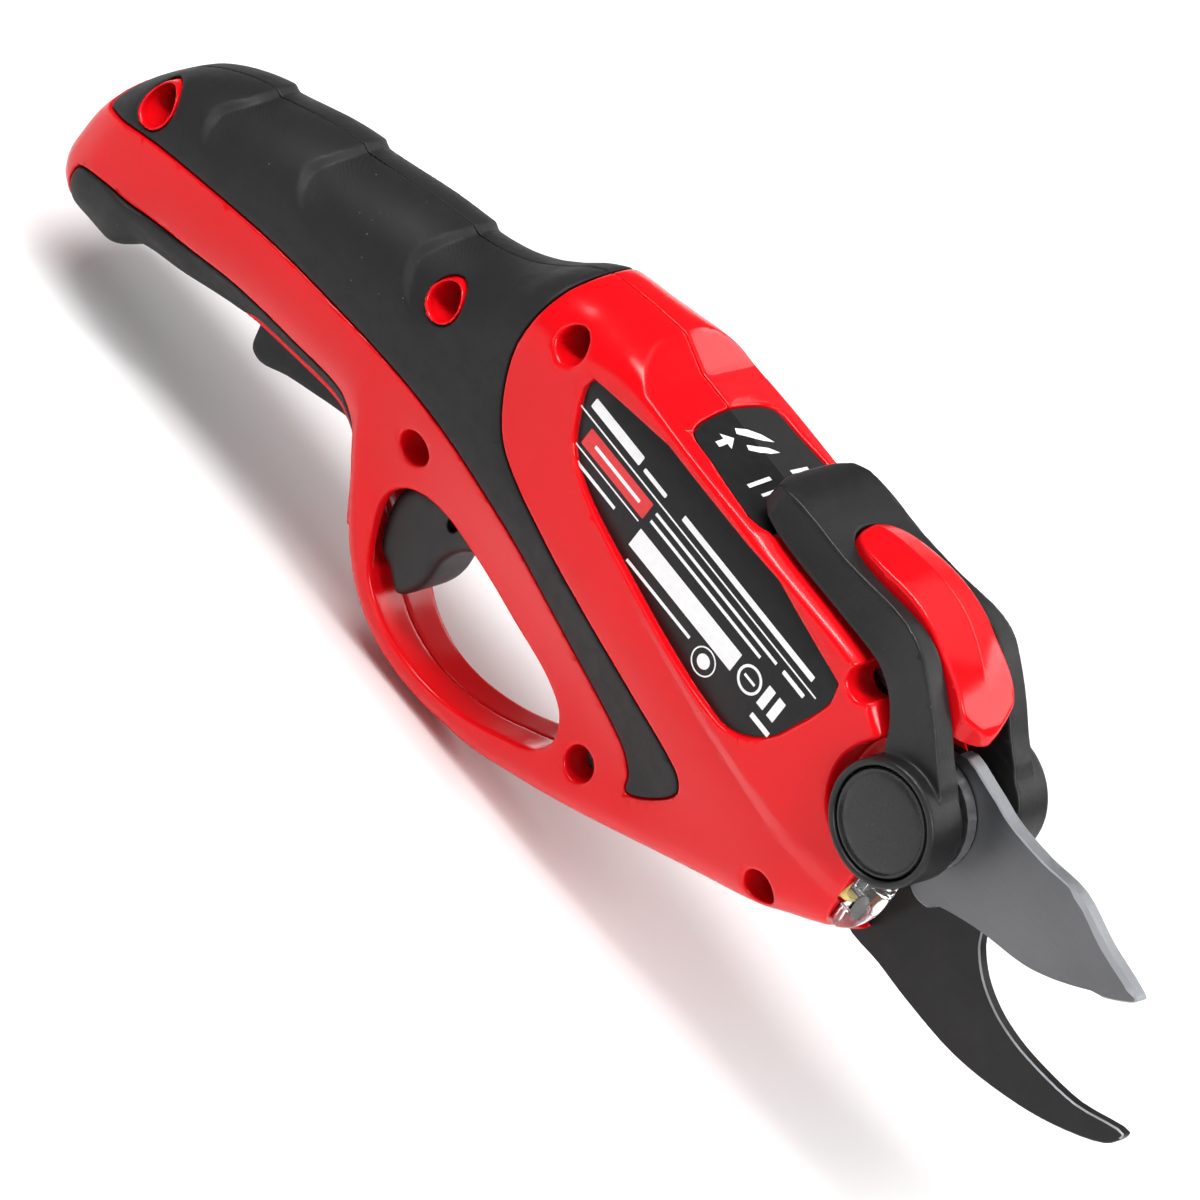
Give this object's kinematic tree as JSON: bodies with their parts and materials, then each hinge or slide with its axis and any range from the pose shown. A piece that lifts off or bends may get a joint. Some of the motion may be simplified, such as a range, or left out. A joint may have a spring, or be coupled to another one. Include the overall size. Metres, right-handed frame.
{
  "type": "battery electric pruner",
  "caption": "One-hand cordless bypass pruner with a looped finger guard, a trigger, a hinged yoke lever on the blade pivot and a soft-covered curved handle.",
  "frame": {"origin": "centre of the whole tool's bounding box", "axes": "+X towards the blade tips, +Z towards the top of the tool where the yoke lever lies, +Y to the left side, across the tool along the blade pivot"},
  "size_m": [0.297, 0.0366, 0.1154],
  "materials": {
    "red": "gloss moulded",
    "rubber": "matt soft overmould",
    "black_plastic": "fine grain",
    "label": "satin film",
    "steel": "satin ground",
    "coated_steel": "black coated",
    "brass": "plain",
    "clear": "clear moulded",
    "lamp_yellow": "moulded epoxy",
    "board": "solder mask",
    "cell": "shrink wrapped"
  },
  "bodies": {
    "body": {"housing_right": "red", "housing_left": "red", "grip_cover_right": "rubber", "grip_cover_left": "rubber", "lower_grip_right": "rubber", "lower_grip_left": "rubber", "motor_end_cap": "black_plastic", "charging_socket": "black_plastic", "trigger_switch": "black_plastic", "label_plate_right": "label", "label_plate_left": "label", "top_label": "label", "housing_screw_1": "steel", "housing_screw_2": "steel", "housing_screw_3": "steel", "housing_screw_4": "steel", "housing_screw_5": "steel", "housing_screw_6": "steel", "housing_screw_7": "steel", "pivot_bolt": "steel", "pivot_nut": "steel", "blade_screw_1": "steel", "blade_screw_2": "steel", "drive_frame": "steel", "output_bearing": "steel", "gearbox_case": "steel", "motor_can": "steel", "trigger_pin": "steel", "lever_pin": "steel", "lever_spring": "steel", "lower_blade": "coated_steel", "cell_contact_front": "brass", "cell_contact_rear": "brass", "lamp_lens": "clear", "lamp": "lamp_yellow", "circuit_board": "board", "battery_cell": "cell"},
    "blade": {"upper_blade": "steel", "blade_hub": "steel", "drive_gear": "steel"},
    "output_shaft": {"planet_carrier": "steel", "output_pinion": "steel"},
    "planet_1": {"planet_gear_1": "brass"},
    "planet_2": {"planet_gear_2": "brass"},
    "planet_3": {"planet_gear_3": "brass"},
    "rotor": {"motor_rotor": "steel", "sun_gear": "brass"},
    "yoke": {"yoke_lever": "black_plastic", "pivot_cap_right": "black_plastic", "pivot_cap_left": "black_plastic"},
    "slider": {"release_slider": "red"},
    "trigger": {"trigger": "black_plastic"},
    "button": {"switch_button": "red"},
    "squeeze_lever": {"safety_lever": "black_plastic"}
  },
  "joints": [
    {"name": "blade_swing", "type": "hinge", "parent": "body", "child": "blade", "pos_m": [0.0768, 0, 0.02248], "axis": [0, 1, 0], "range_deg": [0, 28]},
    {"name": "output_turn", "type": "hinge", "parent": "body", "child": "output_shaft", "pos_m": [0.0468, 0, 0.02248], "axis": [1, 0, 0], "range_deg": [0, 112]},
    {"name": "planet_turn_1", "type": "hinge", "parent": "output_shaft", "child": "planet_1", "pos_m": [0.0348, 0.00675, 0.02248], "axis": [1, 0, 0], "range_deg": [-336, 0]},
    {"name": "planet_turn_2", "type": "hinge", "parent": "output_shaft", "child": "planet_2", "pos_m": [0.0348, -0.00337, 0.02833], "axis": [1, 0, 0], "range_deg": [-336, 0]},
    {"name": "planet_turn_3", "type": "hinge", "parent": "output_shaft", "child": "planet_3", "pos_m": [0.0348, -0.00337, 0.01664], "axis": [1, 0, 0], "range_deg": [-336, 0]},
    {"name": "rotor_turn", "type": "hinge", "parent": "body", "child": "rotor", "pos_m": [0.0048, 0, 0.02248], "axis": [1, 0, 0], "range_deg": [0, 448]},
    {"name": "yoke_swing", "type": "hinge", "parent": "body", "child": "yoke", "pos_m": [0.0768, 0, 0.02248], "axis": [0, 1, 0], "range_deg": [0, 30]},
    {"name": "slider_slide", "type": "slide", "parent": "yoke", "child": "slider", "axis": [1, 0, 0], "range_m": [0, 0.004], "stiffness_N_per_m": 500, "springref_m": -0.001},
    {"name": "trigger_pull", "type": "hinge", "parent": "body", "child": "trigger", "pos_m": [-0.0362, 0, -0.01672], "axis": [0, 1, 0], "range_deg": [0, 10], "stiffness_Nm_per_rad": 0.3, "springref_deg": -5.73},
    {"name": "button_press", "type": "slide", "parent": "body", "child": "button", "axis": [0, 0, 1], "range_m": [0, 0.0011]},
    {"name": "lever_squeeze", "type": "hinge", "parent": "body", "child": "squeeze_lever", "pos_m": [-0.0667, 0, -0.02152], "axis": [0, 1, 0], "range_deg": [0, 7], "stiffness_Nm_per_rad": 0.5, "springref_deg": -5.73, "deforming": ["lever_spring"]}
  ],
  "couplings": [
    {"joint": "output_turn", "follows": "blade_swing", "ratio": 4},
    {"joint": "rotor_turn", "follows": "blade_swing", "ratio": 16},
    {"joint": "button_press", "follows": "trigger_pull", "m_per_rad": 0.0055},
    {"joint": "planet_turn_1", "follows": "blade_swing", "ratio": -12},
    {"joint": "planet_turn_2", "follows": "blade_swing", "ratio": -12},
    {"joint": "planet_turn_3", "follows": "blade_swing", "ratio": -12}
  ]
}
